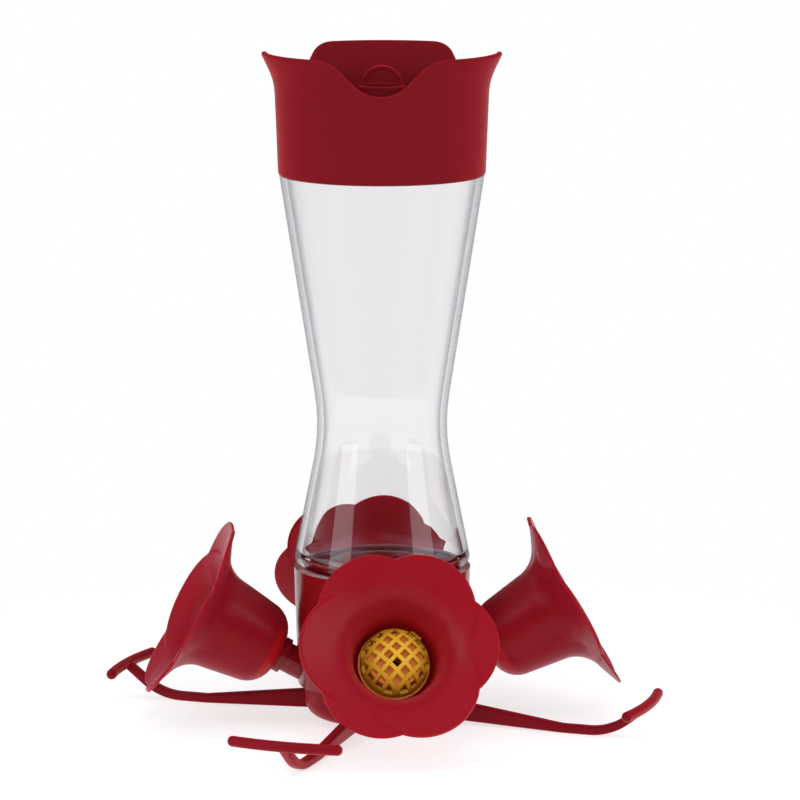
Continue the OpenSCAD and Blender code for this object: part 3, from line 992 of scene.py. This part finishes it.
class FEEDER_OT_perches(bpy.types.Operator):
    """Mould the tray with its four blade arms and perch rods"""

    bl_idname = "feeder.perches"
    bl_label = "Perch tray"

    def execute(self, context):
        s = context.scene.feeder_perches
        rim = s.lift + s.tray_height
        floor = s.lift + s.wall
        bore = s.tray_radius - s.wall
        path = [
            (0, s.lift),
            (s.tray_radius, s.lift),
            (s.tray_radius, rim),
            (bore, rim),
            (bore, floor),
            (0, floor),
        ]
        bm = bmesh.new()
        radii = [0, s.tray_round, TRAY_RIM_ROUND, TRAY_RIM_ROUND, TRAY_FLOOR_ROUND, 0]
        lathe(bm, rounded(path, radii), TRAY_STEPS, closed=False)
        for i in range(4):
            self.add_arm(bm, s, math.pi / 2 * i + s.turn)
        c = context.scene.feeder_colours
        # Painted sheen: lighter red where the tray's and arms' edges turn away
        material = plastic(
            "dark_red_plastic", c.tray, c.cap_painted_sheen, roughness=0.38, grain=0.4, shine=1.16
        )
        finished_piece(bm, "perch_tray_skin", material, "tray", ["perch_tray"])
        return {"FINISHED"}

    def add_arm(self, bm, s, angle):
        """One blade arm with its foot and its rod, turned to its place."""
        half_foot = s.arm_foot / 2
        bend_at = s.reach - (s.height - half_foot) / math.tan(s.arm_slope)
        line = [(s.foot_start, half_foot), (bend_at, half_foot), (s.reach, s.height)]
        under = shifted(line, -half_foot)
        upper = shifted(line, half_foot)
        low = rounded(under, [0, s.arm_bend + half_foot, 0])
        high = rounded(upper, [0, s.arm_bend - half_foot, 0])
        high.reverse()
        root = s.tray_radius - s.wall / 2
        side = [Vector((root, s.lift))] + low + high + [Vector((root, s.lift + s.arm_root))]
        verts = [bm.verts.new((p.x, -s.arm_thickness / 2, p.y)) for p in side]
        face = bm.faces.new(verts)
        made = bmesh.ops.extrude_face_region(bm, geom=[face])["geom"]
        far = [v for v in made if isinstance(v, bmesh.types.BMVert)]
        bmesh.ops.translate(bm, verts=far, vec=(0, s.arm_thickness, 0))
        all_verts = verts + far
        held = set(all_verts)
        own_edges = [e for e in bm.edges if e.verts[0] in held and e.verts[1] in held]
        long_edges = [
            e for e in own_edges if abs(e.verts[0].co.y - e.verts[1].co.y) < MERGE_DISTANCE
        ]
        bevelled = bmesh.ops.bevel(
            bm,
            geom=long_edges,
            offset=ARM_BEVEL,
            offset_type="OFFSET",
            affect="EDGES",
            segments=3,
            profile=0.5,
            material=-1,
            clamp_overlap=True,
        )
        arm = set(bevelled["verts"]) | {v for v in all_verts if v.is_valid}
        for f in bevelled["faces"]:
            arm.update(f.verts)
        arm = list(arm)
        rod = self.add_rod(bm, s)
        rotate(bm, arm + rod, angle, "Z")

    def add_rod(self, bm, s):
        """The curved cross rod of one arm, closed and with round ends."""
        before = set(bm.verts)
        section = round_section(bm, s.rod_radius)
        rotate(bm, section, math.pi / 2, "X")
        bmesh.ops.translate(bm, verts=section, vec=(s.reach, 0, s.height))
        rotate(bm, section, -s.half_arc, "Z")
        sweep(bm, section, (0, 0, 0), (0, 0, 1), 2 * s.half_arc, ROD_STEPS)
        open_ends = [e for e in bm.edges if e.is_boundary and e.verts[0] not in before]
        bmesh.ops.holes_fill(bm, edges=open_ends, sides=0)
        for side in (-1, 1):
            end = Matrix.Rotation(side * s.half_arc, 4, "Z")
            end = end @ Matrix.Translation((s.reach, 0, s.height))
            bmesh.ops.create_uvsphere(
                bm,
                u_segments=ROUND_POINTS,
                v_segments=BALL_RINGS,
                radius=s.rod_radius * ROD_END_SIZE,
                matrix=end,
            )
        return [v for v in bm.verts if v not in before]


class FEEDER_OT_base(bpy.types.Operator):
    """Finish the base, the feeding ports, the bee guards and the seals"""

    bl_idname = "feeder.base"
    bl_label = "Base and ports"

    def execute(self, context):
        c = context.scene.feeder_colours
        gloss = plastic(
            "gloss_red_plastic", c.base, roughness=0.22, coat=0.25, coat_roughness=0.03, grain=0.05
        )
        yellow = plastic("yellow_plastic", c.guard, roughness=0.4, grain=0.3, softness=0.2)
        orange = plastic("orange_yellow_plastic", c.port, roughness=0.45, grain=0.3, softness=0.2)
        rubber = plastic("seal_rubber", c.seal, roughness=0.6, grain=0.8)
        dress("base_bowl", gloss)
        dress("tray_seal", rubber)
        dress("bottle_seal", rubber)
        for side in SIDES:
            dress("bee_guard_" + side, yellow)
            dress("feeding_port_" + side, orange)
        return {"FINISHED"}


class FEEDER_OT_stage(bpy.types.Operator):
    """Set the floor, the soft boxes, the room light and the camera"""

    bl_idname = "feeder.stage"
    bl_label = "Stage"

    def execute(self, context):
        s = context.scene.feeder_stage
        self.add_floor(s)
        self.add_world(context, s)
        for name, place, size, field, mirrored in SOFT_BOXES:
            self.add_soft_box(name, place, size, getattr(s, field), mirrored)
        self.add_camera(context, s)
        return {"FINISHED"}

    def add_floor(self, s):
        """A pale floor that keeps the object's shadow near it and is white further out."""
        bm = bmesh.new()
        bmesh.ops.create_circle(bm, cap_ends=True, radius=FLOOR_RADIUS, segments=FLOOR_POINTS)
        mesh = bpy.data.meshes.new("floor")
        bm.to_mesh(mesh)
        bm.free()
        floor = bpy.data.objects.new("floor", mesh)
        bpy.context.scene.collection.objects.link(floor)
        material, finish = new_finish("floor_white")
        place = finish.node("ShaderNodeSeparateXYZ", inputs={"Vector": finish.place()})
        x = place
        y = place.beside("Y")
        far = finish.between((x * x + y * y) ** 0.5, *SHADOW_FADE)
        sheet = finish.node(
            "ShaderNodeBsdfPrincipled",
            inputs={
                "Base Color": FLOOR_WHITE,
                "Roughness": FLOOR_ROUGH,
                "Specular IOR Level": FLOOR_SHINE,
                "Emission Color": WHITE,
                "Emission Strength": FLOOR_EMISSION,
            },
        )
        glow = finish.node("ShaderNodeEmission", inputs={"Color": WHITE, "Strength": 1.0})
        share_lit = s.floor_glow + far * (1 - s.floor_glow)
        mixed = finish.node("ShaderNodeMixShader", inputs={0: share_lit, 1: sheet, 2: glow})
        finish.surface(mixed)
        mesh.materials.append(material)

    def add_world(self, context, s):
        """The room's light, and what plastic mirrors and glass shows of the room."""
        world = bpy.data.worlds.new("room")
        context.scene.world = world
        world.use_nodes = True
        finish = Finish(world.node_tree)
        ways = finish.node("ShaderNodeTexCoord", output="Generated")
        parts = finish.node("ShaderNodeSeparateXYZ", inputs={"Vector": ways})
        ahead = parts.beside("Y")
        side = parts.math("ABSOLUTE", parts.math("ARCTAN2", parts, 0 - ahead))
        high = finish.between(parts.beside("Z"), *BOX_RISE)
        box = finish.between(side, *BOX_START) * (1 - finish.between(side, *BOX_END))
        flank = finish.between(side, *FLANK_START) * (1 - finish.between(side, *FLANK_END))
        backdrop = finish.between(side, *BACKDROP_START)
        beyond = finish.between(side, *SCREEN_START)
        path = finish.node("ShaderNodeLightPath")
        seen = path.beside("Is Camera Ray")
        mirrored = path.beside("Is Glossy Ray")
        through = path.beside("Is Transmission Ray")
        right = finish.between(parts, *SCREEN_TURN)
        screen = finish.blend(full(s.left_screen), full(s.right_screen), right)
        boxes = finish.blend(full(s.box_low), full(s.box_high), high)
        room = finish.blend(full((s.dark_room,) * 3), boxes, box)
        gloss = finish.blend(room, full((s.back_sheen,) * 3), backdrop)
        light = finish.blend(full((s.room_light,) * 3), full(s.flank_light), flank)
        light = finish.blend(light, gloss, mirrored)
        light = finish.blend(light, finish.blend(room, screen, beyond), through)
        light = finish.blend(light, WHITE, seen)
        shine = finish.node("ShaderNodeBackground", inputs={"Color": light, "Strength": 1.0})
        finish.node("ShaderNodeOutputWorld", inputs={"Surface": shine})

    def add_soft_box(self, name, place, size, watts, mirrored):
        """One soft box that no camera ray sees, aimed at the object's lower half."""
        lamp = bpy.data.lights.new(name, "AREA")
        lamp.shape = "RECTANGLE"
        lamp.size, lamp.size_y = size
        lamp.energy = watts
        box = bpy.data.objects.new(name, lamp)
        box.location = place
        aim = LAMP_AIM - Vector(place)
        box.rotation_euler = aim.to_track_quat("-Z", "Y").to_euler()
        box.visible_camera = False
        box.visible_glossy = mirrored
        box.visible_transmission = False
        bpy.context.scene.collection.objects.link(box)

    def add_camera(self, context, s):
        """The camera at the photo's place, turned so that the frame is the photo's."""
        data = bpy.data.cameras.new("camera")
        data.sensor_width = SENSOR_WIDTH
        data.lens = SENSOR_WIDTH * s.focal
        data.clip_start = CLIP_NEAR
        data.clip_end = CLIP_FAR
        camera = bpy.data.objects.new("camera", data)
        flat = s.distance * math.cos(s.elevation)
        camera.location = (
            flat * math.cos(s.azimuth),
            flat * math.sin(s.azimuth),
            s.distance * math.sin(s.elevation),
        )
        down = s.elevation - math.atan(s.aim_up / s.focal)
        heading = s.azimuth + math.pi / 2 - math.atan(s.aim_right / s.focal)
        camera.rotation_euler = (math.pi / 2 - down, 0, heading)
        context.scene.collection.objects.link(camera)
        context.scene.camera = camera
        context.scene.view_settings.view_transform = "Standard"


OPERATORS = (
    FEEDER_OT_bottle,
    FEEDER_OT_cap,
    FEEDER_OT_flowers,
    FEEDER_OT_perches,
    FEEDER_OT_base,
    FEEDER_OT_stage,
)
GROUPS = {
    "feeder_bottle": FeederBottle,
    "feeder_cap": FeederCap,
    "feeder_flowers": FeederFlowers,
    "feeder_perches": FeederPerches,
    "feeder_colours": FeederColours,
    "feeder_stage": FeederStage,
}


class FEEDER_PT_panel(bpy.types.Panel):
    """The feeder's pieces and their sizes"""

    bl_idname = "FEEDER_PT_panel"
    bl_label = "Hummingbird feeder"
    bl_space_type = "VIEW_3D"
    bl_region_type = "UI"
    bl_category = "Feeder"

    def draw(self, context):
        """Lists the operators, then each group's fields."""
        for operator in OPERATORS:
            self.layout.operator(operator.bl_idname)
        for name in GROUPS:
            box = self.layout.box()
            box.label(text=name.replace("feeder_", "").capitalize())
            group = getattr(context.scene, name)
            for field in group.__annotations__:
                box.prop(group, field)


def register():
    """Registers the groups, the operators and the panel."""
    for name, group in GROUPS.items():
        bpy.utils.register_class(group)
        setattr(bpy.types.Scene, name, bpy.props.PointerProperty(type=group))
    for operator in OPERATORS:
        bpy.utils.register_class(operator)
    bpy.utils.register_class(FEEDER_PT_panel)


def unregister():
    """Takes back what register did."""
    bpy.utils.unregister_class(FEEDER_PT_panel)
    for operator in reversed(OPERATORS):
        bpy.utils.unregister_class(operator)
    for name, group in reversed(GROUPS.items()):
        delattr(bpy.types.Scene, name)
        bpy.utils.unregister_class(group)


def main():
    """Makes the pieces and the stage."""
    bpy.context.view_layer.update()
    register()
    bpy.ops.feeder.bottle()
    bpy.ops.feeder.cap()
    bpy.ops.feeder.flowers()
    bpy.ops.feeder.perches()
    bpy.ops.feeder.base()
    bpy.ops.feeder.stage()


if __name__ == "__main__":
    main()
